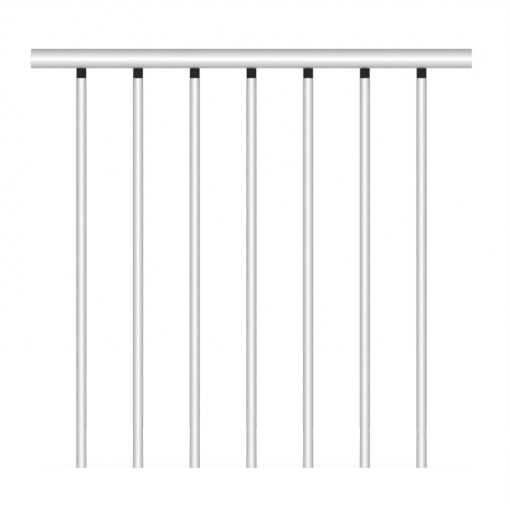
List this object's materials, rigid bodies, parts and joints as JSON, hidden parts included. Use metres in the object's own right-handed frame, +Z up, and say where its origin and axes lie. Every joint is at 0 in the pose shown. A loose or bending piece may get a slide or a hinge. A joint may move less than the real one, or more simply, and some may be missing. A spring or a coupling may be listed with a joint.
{
  "type": "straight balustrade railing with round balusters",
  "caption": "Straight railing: a round handrail on evenly spaced round tube balusters, each joined to it by a short black connector.",
  "frame": {"origin": "centre of the middle baluster's foot, in the plane of all seven feet", "axes": "+X along the handrail, to the right in the picture; +Y away from the viewer, through the railing; +Z up"},
  "size_m": [0.9468, 0.045, 0.8999],
  "materials": {
    "satin_aluminium": "satin anodised, brushed along its length",
    "black_nylon": "fine moulded texture",
    "zinc_steel": "bright zinc plated"
  },
  "bodies": {
    "root": {"handrail": "satin_aluminium", "handrail_end_cap_left": "black_nylon", "handrail_end_cap_right": "black_nylon", "baluster_1": "satin_aluminium", "connector_1": "black_nylon", "rail_screw_1": "zinc_steel", "foot_insert_1": "zinc_steel", "baluster_2": "satin_aluminium", "connector_2": "black_nylon", "rail_screw_2": "zinc_steel", "foot_insert_2": "zinc_steel", "baluster_3": "satin_aluminium", "connector_3": "black_nylon", "rail_screw_3": "zinc_steel", "foot_insert_3": "zinc_steel", "baluster_4": "satin_aluminium", "connector_4": "black_nylon", "rail_screw_4": "zinc_steel", "foot_insert_4": "zinc_steel", "baluster_5": "satin_aluminium", "connector_5": "black_nylon", "rail_screw_5": "zinc_steel", "foot_insert_5": "zinc_steel", "baluster_6": "satin_aluminium", "connector_6": "black_nylon", "rail_screw_6": "zinc_steel", "foot_insert_6": "zinc_steel", "baluster_7": "satin_aluminium", "connector_7": "black_nylon", "rail_screw_7": "zinc_steel", "foot_insert_7": "zinc_steel"}
  },
  "joints": []
}
